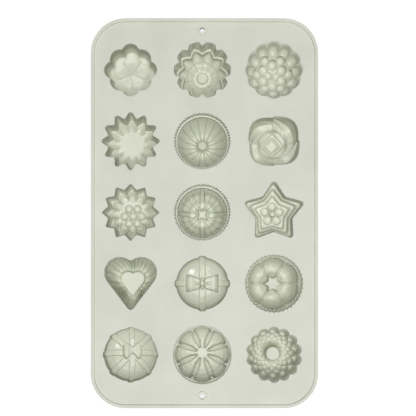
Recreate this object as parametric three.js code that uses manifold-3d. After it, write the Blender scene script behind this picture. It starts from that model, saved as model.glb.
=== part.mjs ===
// A silicone mould for sweets: one flexible moulding with fifteen sculpted cavities, in five rows of three.
// Millimetres, +Z up. X runs across the three columns, Y along the five rows, and Z is zero under the cups.
// The moulding is divided into its natural regions, each a solid of its own: the deck, the rim bead, the
// two hanging collars and the fifteen cups that hang under the deck.

import * as THREE from 'three';
import { mergeVertices } from 'three/addons/utils/BufferGeometryUtils.js';
import Module from 'manifold-3d';

const wasm = await Module();
wasm.setup();

// Layout of the cavities and the deck
const columnPitch = 54.4;
const rowPitch = 54;
const sideMargin = 31.6;
const endMargin = 39.5;
const fieldShiftX = -1.7;
const fieldShiftY = 0.9;
const cornerRadius = 26;
const deckThickness = 1.6;
const wallThickness = 1.3;

// Rim bead, on the deck's edge
const rimWidth = 2.6;
const rimRise = 1;
const rimRounding = 0.45;

// Hanging holes, one at each end
const hangingHoleRadius = 2;
const hangingHoleFromEdge = 8.8;
const collarWidth = 1.9;
const collarRise = 0.6;
const collarRounding = 0.25;

// How far a cut runs past the face it opens
const cutOverrun = 1;

// Reach of the rings of a gift's dome
const domeShares = [1, 0.92, 0.72, 0.42];

// Counts
const columns = 3;
const rows = 5;
const cornerSteps = 6;
const collarSteps = 24;
const giftSteps = 32;
const bowCurveSteps = 3;

const siliconeColour = 0xd3d5c7;
const siliconeRoughness = 0.42;

const mouldWidth = (columns - 1) * columnPitch + 2 * sideMargin;
const mouldLength = (rows - 1) * rowPitch + 2 * endMargin;

// Waves round a cavity, all 1 on the line to twelve o'clock
const twelveAngle = Math.PI / 2;
const fullTurnAngle = Math.PI * 2;

// Round lobes: 1 on a lobe's middle, 0 between two
const lobes = (angle, count) => (1 + Math.cos(count * (angle - twelveAngle))) / 2;

// Petals: round on the outside, a sharp notch between two
const petals = (angle, count) => Math.abs(Math.cos(count * (angle - twelveAngle) / 2));

// Points: straight flanks from a sharp tip to a sharp notch
function points(angle, count) {
  const turns = count * (angle - twelveAngle) / fullTurnAngle;
  return Math.abs(1 - 2 * (turns - Math.floor(turns)));
}

const mix = (low, high, share) => low + (high - low) * share;

// A star with straight sides: tips on the count, starting at twelve o'clock
function starReach(angle, count, tipReach, notchReach) {
  const half = Math.PI / count;
  const turns = (angle - twelveAngle) / (2 * half);
  const fromTip = Math.abs(turns - Math.round(turns)) * 2 * half;
  return tipReach * notchReach * Math.sin(half)
    / (tipReach * Math.sin(fromTip) + notchReach * Math.sin(half - fromTip));
}

const evenAngles = (steps) => Array.from({ length: steps }, (_, i) => twelveAngle + fullTurnAngle * i / steps);

// Angles that repeat the same shares of a sector round the cavity
const sectorAngles = (count, sectorShares) => Array.from({ length: count }, (_, sector) => (
  sectorShares.map((share) => twelveAngle + fullTurnAngle * (sector + share) / count)
)).flat();

// The cavities. In each, mouth gives the outline in the deck, and ringShares gives the rings from the mouth
// down and in to the middle, one row for each: reach as a share of the outline, how much of the lobes stays,
// depth as a share of the cavity's depth, how much of the flutes shows, and how far the ring has turned into
// the inner outline. outsideRings are the rings that the cup's outside follows, and footRing the last of them.

const pansy = { petal: 19.9, smallPetal: 18.8, notch: 16.5, depth: 11, fluteDepth: 0.7 };
pansy.form = {
  name: 'cup_pansy',
  angles: evenAngles(32),
  mouth: (a) => mix(pansy.notch, mix(pansy.smallPetal, pansy.petal, lobes(a, 4)), petals(a, 8)),
  core: pansy.notch,
  flute: (a) => petals(a, 5),
  ringShares: [
    [1, 1, 0, 0],
    [0.94, 1, 0.45, 0],
    [0.85, 0.95, 0.8, 0],
    [0.7, 0.5, 0.9, 0.4],
    [0.42, 0.2, 0.94, 1],
    [0.14, 0, 0.9, 0],
  ],
  middleShare: 0.88,
  outsideRings: [2],
  footRing: 3,
};

const starBundt = { tip: 21.4, notch: 18.1, postReach: 3.7, depth: 17.7, fluteDepth: 0 };
starBundt.form = {
  name: 'cup_star_bundt',
  angles: evenAngles(40),
  mouth: (a) => mix(starBundt.notch, starBundt.tip, Math.min(1, 2 * (1 - points(a, 10)))),
  core: starBundt.notch,
  inner: () => starBundt.postReach,
  ringShares: [
    [1, 1, 0, 0, 0],
    [0.785, 2.1, 0.39, 0, 0],
    [0.69, 2.2, 0.42, 0, 0],
    [0.59, 2, 0.76, 0, 0],
    [0.47, 1.2, 1, 0, 0],
    [1.2, 0, 0.99, 0, 1],
    [1, 0, 0.93, 0, 1],
  ],
  middleShare: 0.93,
  outsideRings: [1, 3],
  footRing: 4,
};

const raspberry = { bead: 21.6, notch: 20.3, depth: 15.5, fluteDepth: 0.75 };
raspberry.form = {
  name: 'cup_raspberry',
  angles: evenAngles(36),
  mouth: (a) => mix(raspberry.notch, raspberry.bead, petals(a, 12)),
  core: raspberry.notch,
  flute: (a) => 2 * lobes(a, 12) - 1,
  ringShares: [
    [1, 1, 0, 0],
    [0.96, 1, 0.32, 0.6],
    [0.87, 0, 0.52, 0],
    [0.78, 0, 0.74, -1],
    [0.62, 0, 0.82, 0],
    [0.5, 0, 0.95, 1],
    [0.32, 0, 0.94, 0],
    [0.2, 0, 1, 0],
  ],
  middleShare: 0.97,
  outsideRings: [1, 3],
  footRing: 5,
};

const daisy = { tip: 21.6, notch: 17, depth: 12, fluteDepth: 1.4 };
daisy.form = {
  name: 'cup_daisy',
  angles: evenAngles(24),
  mouth: (a) => starReach(a, 12, daisy.tip, daisy.notch),
  core: daisy.notch,
  flute: (a) => points(a, 12),
  ringShares: [
    [1, 1, 0, 0],
    [0.93, 1, 0.42, 0.4],
    [0.76, 1.1, 0.6, 0.9],
    [0.6, 0.8, 0.82, 0.9],
    [0.45, 0, 1, 0],
  ],
  middleShare: 1,
  outsideRings: [1, 2],
  footRing: 3,
};

const flutedBundt = { reach: 21.3, postReach: 3.8, depth: 17.7, fluteDepth: 1.3 };
flutedBundt.form = {
  name: 'cup_fluted_bundt',
  angles: evenAngles(32),
  mouth: () => flutedBundt.reach,
  core: flutedBundt.reach,
  flute: (a) => petals(a, 16),
  inner: (a) => flutedBundt.postReach * mix(0.9, 1, lobes(a, 6)),
  ringShares: [
    [1, 1, 0, 0, 0],
    [0.985, 1, 0.13, 0, 0],
    [0.91, 1, 0.16, 0, 0],
    [0.84, 1, 0.6, 1, 0],
    [0.66, 1, 0.9, 1, 0],
    [0.44, 1, 0.93, 1, 0],
    [1.35, 1, 0.86, 0.4, 1],
    [1, 1, 0.78, 0, 1],
  ],
  middleShare: 0.78,
  outsideRings: [1, 3],
  footRing: 4,
};

// The rose's outline is a square with bulging sides, and each of its four sides is a petal that starts a
// step outside the one before.
const roseExponent = 3.2;
const rose = { halfWidth: 18.8, halfLength: 18.2, petalStep: 1.1, diamond: 5.2, depth: 16.5, fluteDepth: 0 };
rose.outline = (a) => {
  const across = Math.abs(Math.cos(a)) / rose.halfWidth;
  const along = Math.abs(Math.sin(a)) / rose.halfLength;
  return (across ** roseExponent + along ** roseExponent) ** (-1 / roseExponent);
};
rose.form = {
  name: 'cup_rose',
  angles: evenAngles(32),
  mouth: (a) => {
    const quarter = (twelveAngle - a) / twelveAngle;
    return rose.outline(a) + rose.petalStep * (0.5 - (quarter - Math.floor(quarter)));
  },
  core: rose.halfLength,
  inner: (a) => starReach(a, 4, rose.diamond, rose.diamond * Math.SQRT1_2),
  ringShares: [
    [1, 1, 0, 0, 0],
    [0.9, 1, 0.34, 0, 0],
    [0.76, 0.9, 0.52, 0, 0.1],
    [0.66, 0.4, 0.78, 0, 0.1],
    [2.3, 0, 0.86, 0, 1],
    [1.6, 0, 0.88, 0, 1],
    [1.45, 0, 0.94, 0, 1],
    [1, 0, 1, 0, 1],
  ],
  middleShare: 1,
  outsideRings: [1, 3],
  footRing: 4,
};

const lotus = { tip: 21.4, notch: 17.6, depth: 13.5, fluteDepth: 1.2, heartReach: 8.6 };
lotus.form = {
  name: 'cup_lotus',
  angles: evenAngles(24),
  mouth: (a) => starReach(a, 12, lotus.tip, lotus.notch),
  core: lotus.notch,
  flute: (a) => lobes(a, 6),
  inner: (a) => lotus.heartReach * mix(0.88, 1, petals(a + Math.PI / 6, 6)),
  ringShares: [
    [1, 1, 0, 0, 0],
    [0.93, 1, 0.4, 0, 0],
    [0.8, 0.7, 0.62, 0.5, 0],
    [0.64, 0.2, 0.84, 0.6, 0],
    [1, 0, 0.92, 0, 1],
    [0.75, 0, 1, 0, 1],
    [0.4, 0, 0.95, 0, 1],
  ],
  middleShare: 1,
  outsideRings: [1, 2],
  footRing: 3,
};

const ribbonBundt = { reach: 21.3, postReach: 3.4, depth: 17.7, fluteDepth: 0.9 };
ribbonBundt.form = {
  name: 'cup_ribbon_bundt',
  angles: evenAngles(32),
  mouth: () => ribbonBundt.reach,
  core: ribbonBundt.reach,
  flute: (a) => Math.max(0, 1 - 2.6 * (1 - lobes(a, 4))),
  inner: (a) => ribbonBundt.postReach * mix(1, 0.82, lobes(a, 4)),
  ringShares: [
    [1, 1, 0, 0, 0],
    [0.985, 1, 0.13, 0, 0],
    [0.92, 1, 0.16, 0, 0],
    [0.86, 1, 0.55, 1, 0],
    [0.68, 1, 0.88, 1, 0],
    [0.44, 1, 0.94, 1, 0],
    [1.4, 1, 0.85, 0.6, 1],
    [1, 1, 0.71, 0, 1],
  ],
  middleShare: 0.71,
  outsideRings: [1, 3],
  footRing: 4,
};

// The star's tips are blunt: three points stand close together on each of them.
const star = { tip: 23.2, notch: 15, innerTip: 15.2, innerNotch: 11.5, depth: 10.5, fluteDepth: 0 };
star.form = {
  name: 'cup_star',
  angles: sectorAngles(5, [-0.05, 0, 0.05, 0.5]),
  mouth: (a) => starReach(a, 5, star.tip, star.notch) * mix(0.965, 1, Math.min(1, 12 * (1 - points(a, 5)))),
  core: star.notch,
  inner: (a) => starReach(a, 5, star.innerTip, star.innerNotch),
  ringShares: [
    [1, 1, 0, 0, 0],
    [0.92, 0.92, 0.42, 0, 0],
    [1, 0, 0.5, 0, 1],
    [0.96, 0, 0.7, 0, 1],
    [0.77, 0, 0.74, 0, 1],
    [0.73, 0, 0.96, 0, 1],
    [0.45, 0, 1, 0, 1],
    [0.17, 0, 0.93, 0, 1],
    [0.13, 0, 0.82, 0, 1],
  ],
  middleShare: 0.82,
  outsideRings: [1, 3],
  footRing: 5,
};

// The heart's outline is two round lobes, with straight sides that run from them to the point.
const heart = { lobeRadius: 11.6, lobeAside: 8.3, lobeUp: 8.5, pointDown: 19.6, depth: 17.7, fluteDepth: 0.8 };
heart.outline = (a) => {
  const across = Math.abs(Math.cos(a));
  const up = Math.sin(a);
  const toLobe = Math.hypot(heart.lobeAside, heart.lobeUp + heart.pointDown);
  const lean = Math.atan2(heart.lobeAside, heart.lobeUp + heart.pointDown) + Math.asin(heart.lobeRadius / toLobe);
  const sideLength = Math.sqrt(toLobe ** 2 - heart.lobeRadius ** 2);
  const onSide = heart.pointDown * Math.sin(lean) / (across * Math.cos(lean) - up * Math.sin(lean));
  const alongSide = (onSide * up + heart.pointDown) / Math.cos(lean);
  if (onSide > 0 && alongSide <= sideLength) return onSide;
  const towards = across * heart.lobeAside + up * heart.lobeUp;
  const beyond = heart.lobeAside ** 2 + heart.lobeUp ** 2 - heart.lobeRadius ** 2;
  return towards + Math.sqrt(Math.max(0, towards ** 2 - beyond));
};
heart.form = {
  name: 'cup_heart',
  angles: evenAngles(48),
  mouth: heart.outline,
  core: heart.lobeRadius,
  flute: (a) => petals(a, 24),
  ringShares: [
    [1, 1, 0, 0],
    [0.95, 1, 0.18, 0],
    [0.86, 1, 0.62, 1],
    [0.75, 1, 0.92, 1],
    [0.6, 1, 0.95, 1],
    [0.49, 1, 0.86, 0.6],
    [0.44, 1, 0.7, 0],
  ],
  middleShare: 0.7,
  outsideRings: [1, 2],
  footRing: 3,
};

const wreathBundt = { reach: 22, ropeRelief: 0.5, postTip: 5.7, postNotch: 3.9, depth: 17.7, fluteDepth: 1.5 };
wreathBundt.form = {
  name: 'cup_wreath_bundt',
  angles: evenAngles(36),
  mouth: (a) => wreathBundt.reach - wreathBundt.ropeRelief * lobes(a, 18),
  core: wreathBundt.reach,
  flute: (a) => petals(a, 6),
  inner: (a) => starReach(a + Math.PI / 6, 6, wreathBundt.postTip, wreathBundt.postNotch),
  ringShares: [
    [1, 1, 0, 0, 0],
    [0.96, 1, 0.13, 0, 0],
    [0.91, 0.4, 0.17, 0, 0],
    [0.85, 0, 0.5, 0.6, 0],
    [0.7, 0, 0.84, 1, 0],
    [0.48, 0, 0.9, 1, 0],
    [0.3, 0, 0.7, 1, 0.4],
    [1, 0, 0.4, 0, 1],
  ],
  middleShare: 0.4,
  outsideRings: [1, 3],
  footRing: 4,
};

const pumpkin = { reach: 22, hub: 3.4, depth: 14, fluteDepth: 1.6 };
pumpkin.form = {
  name: 'cup_pumpkin',
  angles: evenAngles(32),
  mouth: () => pumpkin.reach,
  core: pumpkin.reach,
  flute: (a) => Math.min(1, 2.2 * lobes(a, 8)),
  inner: () => pumpkin.hub,
  ringShares: [
    [1, 1, 0, 0, 0],
    [0.975, 1, 0.14, 0, 0],
    [0.93, 1, 0.18, 0, 0],
    [0.87, 1, 0.5, 1, 0],
    [0.66, 1, 0.78, 1, 0],
    [0.4, 1, 0.88, 0.9, 0],
    [1, 1, 1, 0, 1],
  ],
  middleShare: 1,
  outsideRings: [1, 3, 4],
  footRing: 5,
};

const beadedBundt = { lobe: 21.2, notch: 19, postReach: 5.1, depth: 17.7, fluteDepth: 0.6 };
beadedBundt.form = {
  name: 'cup_beaded_bundt',
  angles: evenAngles(42),
  mouth: (a) => mix(beadedBundt.notch, beadedBundt.lobe, petals(a, 14)),
  core: beadedBundt.notch,
  flute: (a) => 2 * lobes(a, 14) - 1,
  inner: () => beadedBundt.postReach,
  ringShares: [
    [1, 1, 0, 0, 0],
    [0.95, 1, 0.34, 0.4, 0],
    [0.86, 0.8, 0.64, 1, 0],
    [0.72, 0.4, 0.86, 1, 0],
    [0.54, 0.1, 0.96, 0.4, 0],
    [1.3, 0, 0.9, 0, 1],
    [1, 0, 0.4, 0, 1],
  ],
  middleShare: 0.4,
  outsideRings: [1, 2],
  footRing: 3,
};

// Two cavities are wrapped gifts: a shallow dome with raised ribbon bands, whose ends stand out of the
// outline as tabs, and a bow on top. In the mould all of them are pockets.
const giftRound = {
  name: 'cup_gift_round',
  reach: 19.4,
  tabReach: 20.9,
  edgeDepth: 5,
  depth: 12,
  bands: 2,
  bandWidth: 4.6,
  bandRelief: 0.6,
  bowAside: 0,
  bowUp: 0,
  bowHalfLength: 12.7,
  bowHalfHeight: 6.7,
  bowWaist: 1.9,
  knotHalfWidth: 1.4,
  knotHalfHeight: 2.9,
  bowRelief: 1.5,
};

const giftEightBand = {
  name: 'cup_gift_eight_band',
  reach: 19.6,
  tabReach: 20.9,
  edgeDepth: 5,
  depth: 12,
  bands: 4,
  bandWidth: 4.4,
  bandRelief: 0.6,
  bowAside: 1.1,
  bowUp: 1.7,
  bowHalfLength: 7.1,
  bowHalfHeight: 5.6,
  bowWaist: 2.4,
  knotHalfWidth: 1.5,
  knotHalfHeight: 2.4,
  bowRelief: 1.5,
};

// Where each cavity lies, row by row from the top end, left to right
const layout = [
  [pansy, starBundt, raspberry],
  [daisy, flutedBundt, rose],
  [lotus, ribbonBundt, star],
  [heart, giftRound, wreathBundt],
  [giftEightBand, pumpkin, beadedBundt],
];

// The deepest cavity sets how high the deck stands over the floor.
const giftFloor = (gift) => gift.depth + gift.bowRelief;
const floorDepth = (cavity) => (cavity.form ? cavity.depth : giftFloor(cavity));
const deepest = Math.max(...layout.flat().map(floorDepth));
const deckTop = deepest + wallThickness;

// A closed body from rings of points, with a pole at each end. Every ring turns anticlockwise from above,
// and the rings run from the first pole up, over the top and down to the last. Four corners that don't lie
// in a plane are split along the shorter diagonal, so that lobes and notches come out even on both sides.
function bodyOfRings(rings, firstPole, lastPole) {
  const count = rings[0].length;
  const corners = [firstPole, ...rings.flat(), lastPole];
  const lastIndex = corners.length - 1;
  const faces = [];
  const at = (ring, i) => 1 + ring * count + (i % count);
  const apart = (from, to) => corners[from].distanceTo(corners[to]);
  for (let i = 0; i < count; i += 1) {
    faces.push(0, at(0, i), at(0, i + 1));
    for (let ring = 1; ring < rings.length; ring += 1) {
      const [a, b, c, d] = [at(ring - 1, i), at(ring, i), at(ring, i + 1), at(ring - 1, i + 1)];
      faces.push(...(apart(a, c) < apart(b, d) ? [a, b, c, a, c, d] : [a, b, d, b, c, d]));
    }
    faces.push(at(rings.length - 1, i), lastIndex, at(rings.length - 1, i + 1));
  }
  const geometry = new THREE.BufferGeometry().setFromPoints(corners);
  geometry.setIndex(faces);
  geometry.computeVertexNormals();
  return geometry;
}

// The rings of a cavity as reach and depth, one list of steps for each ring
function cavityRings(cavity) {
  const { form } = cavity;
  return form.ringShares.map(([reachShare, lobeShare, depthShare, fluteShare, innerShare = 0]) => (
    form.angles.map((angle) => {
      const outline = form.core + lobeShare * (form.mouth(angle) - form.core);
      const inner = innerShare > 0 ? form.inner(angle) : 0;
      const flute = fluteShare === 0 ? 0 : fluteShare * cavity.fluteDepth * form.flute(angle);
      const deep = depthShare * cavity.depth + flute;
      return {
        angle,
        reach: reachShare * mix(outline, inner, innerShare),
        deep: depthShare === 0 ? deckThickness : Math.min(Math.max(deep, deckThickness), cavity.depth),
      };
    })
  ));
}

// How much longer a wall is along the reach than square to a slanting outline
function slant(ring, i) {
  const count = ring.length;
  const slopes = [1, count - 1].map((step) => {
    const other = ring[(i + step) % count];
    const turn = Math.abs(Math.sin(other.angle - ring[i].angle));
    const middleReach = (other.reach + ring[i].reach) / 2;
    return Math.abs(other.reach - ring[i].reach) / (middleReach * turn);
  });
  return Math.hypot(1, (slopes[0] + slopes[1]) / 2);
}

const place = ({ angle, reach, deep }) => (
  new THREE.Vector3(reach * Math.cos(angle), reach * Math.sin(angle), -deep)
);

// A cup: the cavity's surface inside, and outside it a wall of even thickness down to a flat foot
function cupGeometry(cavity) {
  const { form } = cavity;
  const inside = cavityRings(cavity);
  const floor = cavity.depth + wallThickness;
  const offset = (index) => inside[index].map((step, i) => {
    const above = inside[index - 1][i];
    const below = (inside[index + 1] ?? inside[index])[i];
    const run = Math.hypot(above.reach - below.reach, below.deep - above.deep);
    return {
      angle: step.angle,
      reach: step.reach + wallThickness * slant(inside[index], i) * (below.deep - above.deep) / run,
      deep: step.deep + wallThickness * (above.reach - below.reach) / run,
    };
  });
  const lip = inside[0].map((step, i) => ({
    ...step,
    reach: step.reach + wallThickness * slant(inside[0], i),
  }));
  const foot = offset(form.footRing).map((step) => ({ ...step, deep: floor }));
  const outside = [lip, ...form.outsideRings.map(offset), foot];
  const rings = [...inside].reverse().concat(outside).map((ring) => ring.map(place));
  const middle = new THREE.Vector3(0, 0, -form.middleShare * cavity.depth);
  return bodyOfRings(rings, middle, new THREE.Vector3(0, 0, -floor));
}

// Between three.js geometry and solids that can be cut and joined
function solidOf(geometry) {
  const bare = geometry.clone();
  bare.deleteAttribute('normal');
  bare.deleteAttribute('uv');
  const merged = mergeVertices(bare);
  const vertProperties = merged.attributes.position.array;
  const triVerts = new Uint32Array(merged.index.array);
  return new wasm.Manifold(new wasm.Mesh({ numProp: 3, vertProperties, triVerts }));
}

function geometryOf(solid) {
  const { vertProperties, triVerts } = solid.getMesh();
  const geometry = new THREE.BufferGeometry();
  geometry.setAttribute('position', new THREE.BufferAttribute(vertProperties, 3));
  geometry.setIndex(new THREE.BufferAttribute(triVerts, 1));
  geometry.computeVertexNormals();
  return geometry;
}

function extruded(shape, depth, topZ) {
  const geometry = new THREE.ExtrudeGeometry(shape, { depth, bevelEnabled: false });
  return geometry.translate(0, 0, topZ - depth);
}

// A domed solid that hangs down from the given height: straight at the edge, then a quarter of an ellipse
function domeSolid(reach, edgeDepth, depth, topZ) {
  const curve = domeShares.map((share) => (
    new THREE.Vector2(reach * share, -mix(edgeDepth, depth, Math.sqrt(1 - share ** 2)))
  ));
  const profile = [new THREE.Vector2(0, -depth), ...curve.reverse(), new THREE.Vector2(reach, topZ)];
  profile.push(new THREE.Vector2(0, topZ));
  return solidOf(new THREE.LatheGeometry(profile, giftSteps).rotateX(Math.PI / 2));
}

// The bow from above: two loops that widen from the knot
function bowShape(gift) {
  const waistAside = gift.knotHalfWidth;
  const shape = new THREE.Shape();
  shape.moveTo(waistAside, gift.bowWaist);
  shape.quadraticCurveTo(
    mix(waistAside, gift.bowHalfLength, 0.55), gift.bowHalfHeight, gift.bowHalfLength, gift.bowHalfHeight);
  shape.lineTo(gift.bowHalfLength, -gift.bowHalfHeight);
  shape.quadraticCurveTo(
    mix(waistAside, gift.bowHalfLength, 0.55), -gift.bowHalfHeight, waistAside, -gift.bowWaist);
  shape.lineTo(0, -gift.knotHalfHeight);
  shape.lineTo(-waistAside, -gift.bowWaist);
  shape.quadraticCurveTo(
    -mix(waistAside, gift.bowHalfLength, 0.55), -gift.bowHalfHeight, -gift.bowHalfLength, -gift.bowHalfHeight);
  shape.lineTo(-gift.bowHalfLength, gift.bowHalfHeight);
  shape.quadraticCurveTo(
    -mix(waistAside, gift.bowHalfLength, 0.55), gift.bowHalfHeight, -waistAside, gift.bowWaist);
  shape.lineTo(0, gift.knotHalfHeight);
  shape.closePath();
  return shape;
}

// The gift itself, from just over the deck down: dome, bands and bow
function giftSolid(gift) {
  let solid = domeSolid(gift.reach, gift.edgeDepth, gift.depth, cutOverrun);
  const bandDome = domeSolid(gift.tabReach, gift.edgeDepth, gift.depth + gift.bandRelief, cutOverrun);
  const tall = 2 * (gift.depth + gift.bowRelief + cutOverrun);
  for (let i = 0; i < gift.bands; i += 1) {
    const band = new THREE.BoxGeometry(2 * gift.tabReach, gift.bandWidth, tall);
    band.rotateZ(Math.PI * i / gift.bands);
    solid = solid.add(solidOf(band).intersect(bandDome));
  }
  const bow = new THREE.ExtrudeGeometry(
    bowShape(gift), { depth: tall, bevelEnabled: false, curveSegments: bowCurveSteps });
  bow.translate(gift.bowAside, gift.bowUp, -tall);
  const bowDome = domeSolid(gift.reach, gift.edgeDepth, giftFloor(gift), -deckThickness);
  return solid.add(solidOf(bow).intersect(bowDome));
}

function giftCupGeometry(gift) {
  const reach = gift.tabReach + wallThickness;
  const depth = giftFloor(gift) + wallThickness;
  const shell = domeSolid(reach, gift.edgeDepth + wallThickness, depth, -deckThickness);
  return geometryOf(shell.subtract(giftSolid(gift)));
}

// The rounded rectangle of the deck, taken in from the edge by the given distance
function deckOutline(inset) {
  const radius = cornerRadius - inset;
  const aside = mouldWidth / 2 - cornerRadius;
  const along = mouldLength / 2 - cornerRadius;
  const corners = [[1, 1], [-1, 1], [-1, -1], [1, -1]];
  return corners.flatMap(([sideX, sideY], quarter) => (
    Array.from({ length: cornerSteps + 1 }, (_, i) => {
      const angle = twelveAngle * (quarter + i / cornerSteps);
      return new THREE.Vector2(
        sideX * aside + radius * Math.cos(angle),
        sideY * along + radius * Math.sin(angle),
      );
    })
  ));
}

// A bead that runs round the deck's outline. The section's points are insets and heights.
function beadGeometry(section) {
  const loops = section.map(([inset, height]) => (
    deckOutline(inset).map((point) => new THREE.Vector3(point.x, point.y, height))
  ));
  const count = loops[0].length;
  const faces = [];
  const at = (loop, i) => (loop % loops.length) * count + (i % count);
  for (let loop = 0; loop < loops.length; loop += 1) {
    for (let i = 0; i < count; i += 1) {
      faces.push(at(loop, i), at(loop, i + 1), at(loop + 1, i + 1));
      faces.push(at(loop, i), at(loop + 1, i + 1), at(loop + 1, i));
    }
  }
  const geometry = new THREE.BufferGeometry().setFromPoints(loops.flat());
  geometry.setIndex(faces);
  geometry.computeVertexNormals();
  return geometry;
}

const rimGeometry = () => beadGeometry([
  [0, 0],
  [0, rimRise - rimRounding],
  [rimRounding, rimRise],
  [rimWidth - rimRounding, rimRise],
  [rimWidth, rimRise - rimRounding],
  [rimWidth, 0],
]);

const cavityCentre = (row, column) => new THREE.Vector2(
  fieldShiftX + columnPitch * (column - (columns - 1) / 2),
  fieldShiftY + rowPitch * ((rows - 1) / 2 - row),
);

const hangingHoleY = mouldLength / 2 - hangingHoleFromEdge;

function deckGeometry() {
  const shape = new THREE.Shape(deckOutline(0));
  layout.forEach((cavities, row) => cavities.forEach((cavity, column) => {
    if (!cavity.form) return;
    const centre = cavityCentre(row, column);
    shape.holes.push(new THREE.Path(cavity.form.angles.map((angle) => {
      const reach = cavity.form.mouth(angle);
      return new THREE.Vector2(centre.x + reach * Math.cos(angle), centre.y + reach * Math.sin(angle));
    })));
  }));
  [1, -1].forEach((end) => {
    shape.holes.push(new THREE.Path(evenAngles(collarSteps).map((angle) => new THREE.Vector2(
      fieldShiftX + hangingHoleRadius * Math.cos(angle),
      end * hangingHoleY + hangingHoleRadius * Math.sin(angle),
    ))));
  });
  let deck = solidOf(extruded(shape, deckThickness, 0));
  layout.forEach((cavities, row) => cavities.forEach((cavity, column) => {
    if (cavity.form) return;
    const centre = cavityCentre(row, column);
    deck = deck.subtract(giftSolid(cavity).translate([centre.x, centre.y, 0]));
  }));
  return geometryOf(deck);
}

function collarGeometry() {
  const outer = hangingHoleRadius + collarWidth;
  const profile = [
    [hangingHoleRadius, 0],
    [outer, 0],
    [outer, collarRise - collarRounding],
    [outer - collarRounding, collarRise],
    [hangingHoleRadius, collarRise],
    [hangingHoleRadius, 0],
  ].map(([reach, height]) => new THREE.Vector2(reach, height));
  return new THREE.LatheGeometry(profile, collarSteps).rotateX(Math.PI / 2);
}

// The assembly, placed from the deck's top face
const mould = new THREE.Group();
mould.position.z = deckTop;

function addPiece(name, geometry, x = 0, y = 0) {
  const material = new THREE.MeshStandardMaterial({
    color: siliconeColour,
    roughness: siliconeRoughness,
    metalness: 0,
  });
  const piece = new THREE.Mesh(geometry, material);
  piece.name = name;
  piece.position.set(x, y, 0);
  mould.add(piece);
}

addPiece('deck', deckGeometry());
addPiece('rim', rimGeometry());
addPiece('hanging_collar_top', collarGeometry(), fieldShiftX, hangingHoleY);
addPiece('hanging_collar_bottom', collarGeometry(), fieldShiftX, -hangingHoleY);
layout.forEach((cavities, row) => cavities.forEach((cavity, column) => {
  const centre = cavityCentre(row, column);
  if (cavity.form) addPiece(cavity.form.name, cupGeometry(cavity), centre.x, centre.y);
  else addPiece(cavity.name, giftCupGeometry(cavity), centre.x, centre.y);
}));

export default mould;
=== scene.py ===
import math

import bmesh
import bpy
import numpy as np
from mathutils import Matrix, Vector


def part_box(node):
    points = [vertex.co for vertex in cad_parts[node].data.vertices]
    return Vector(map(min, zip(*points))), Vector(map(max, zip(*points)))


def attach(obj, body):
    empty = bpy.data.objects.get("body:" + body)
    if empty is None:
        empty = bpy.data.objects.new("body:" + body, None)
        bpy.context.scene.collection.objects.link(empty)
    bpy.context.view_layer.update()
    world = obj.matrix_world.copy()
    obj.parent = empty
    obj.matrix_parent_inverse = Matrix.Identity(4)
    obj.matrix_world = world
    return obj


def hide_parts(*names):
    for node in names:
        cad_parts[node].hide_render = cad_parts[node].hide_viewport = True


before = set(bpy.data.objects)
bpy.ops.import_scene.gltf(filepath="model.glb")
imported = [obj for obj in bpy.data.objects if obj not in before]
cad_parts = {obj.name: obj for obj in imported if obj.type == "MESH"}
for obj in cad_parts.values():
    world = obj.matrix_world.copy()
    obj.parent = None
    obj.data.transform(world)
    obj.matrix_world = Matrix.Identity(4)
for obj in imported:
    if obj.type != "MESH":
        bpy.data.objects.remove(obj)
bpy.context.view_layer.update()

# Silicone
# One moulding of platinum-cured silicone rubber, a pale sage green with a faint grain and haze. The steel
# tool leaves it glossy in the cavities and satin on the deck. Shade is painted into its colour: the steep
# walls are painted darker the more they lean, and the rubber in the cavities is painted darker than the deck.
mm = 0.001
deck_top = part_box("deck")[1].z


class Value:
    """A number that a surface works out, so that sums on it read as sums."""

    def __init__(self, surface, socket):
        self.surface, self.socket = surface, socket

    def combine(self, operation, *terms):
        node = self.surface.add("ShaderNodeMath", {"operation": operation}, dict(enumerate(terms)))
        return Value(self.surface, node.outputs[0])

    def __add__(self, other):
        return self.combine("ADD", self, other)

    def __mul__(self, other):
        return self.combine("MULTIPLY", self, other)

    def __abs__(self):
        return self.combine("ABSOLUTE", self)

    __radd__ = __add__
    __rmul__ = __mul__


class Surface:
    """The nodes of a material or of the world, added one at a time."""

    def __init__(self, owner):
        owner.use_nodes = True
        self.tree = owner.node_tree
        self.tree.nodes.clear()

    def add(self, kind, settings=None, sockets=None):
        node = self.tree.nodes.new(kind)
        for name, setting in (settings or {}).items():
            if name == "stops":
                for stop, (position, colour) in zip(node.color_ramp.elements, setting):
                    stop.position, stop.color = position, (*colour, 1)
            else:
                setattr(node, name, setting)
        for name, value in (sockets or {}).items():
            if isinstance(value, Value):
                value = value.socket
            if isinstance(value, bpy.types.NodeSocket):
                self.tree.links.new(value, node.inputs[name])
            else:
                node.inputs[name].default_value = value
        return node

    def work_out(self, output, kind, settings=None, sockets=None):
        """One output of a new node, as a number to do sums with."""
        return Value(self, self.add(kind, settings, sockets).outputs[output])


sage_silicone = bpy.data.materials.new("sage_silicone")
silicone = Surface(sage_silicone)
rubber_spot = silicone.add("ShaderNodeTexCoord").outputs["Object"]


def mottle(scale, detail):
    """A soft, irregular pattern from 0 to 1, finer with a larger scale."""
    return silicone.work_out("Fac", "ShaderNodeTexNoise", None, {
        "Vector": rubber_spot, "Scale": scale, "Detail": detail})


cloudiness = mottle(34, 3)
grain = mottle(1500, 2)
haze = mottle(160, 4)
clouds = cloudiness * 0.8 + grain * 0.2


def clouded(darker, lighter):
    """A colour that drifts between two close shades of the rubber."""
    stops = [(0.36, darker), (0.64, lighter)]
    return silicone.add("ShaderNodeValToRGB", {"stops": stops}, {"Fac": clouds}).outputs["Color"]


def blend(share, first, second):
    return silicone.add("ShaderNodeMix", {"data_type": "RGBA"}, {0: share, 6: first, 7: second}).outputs[2]


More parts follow.
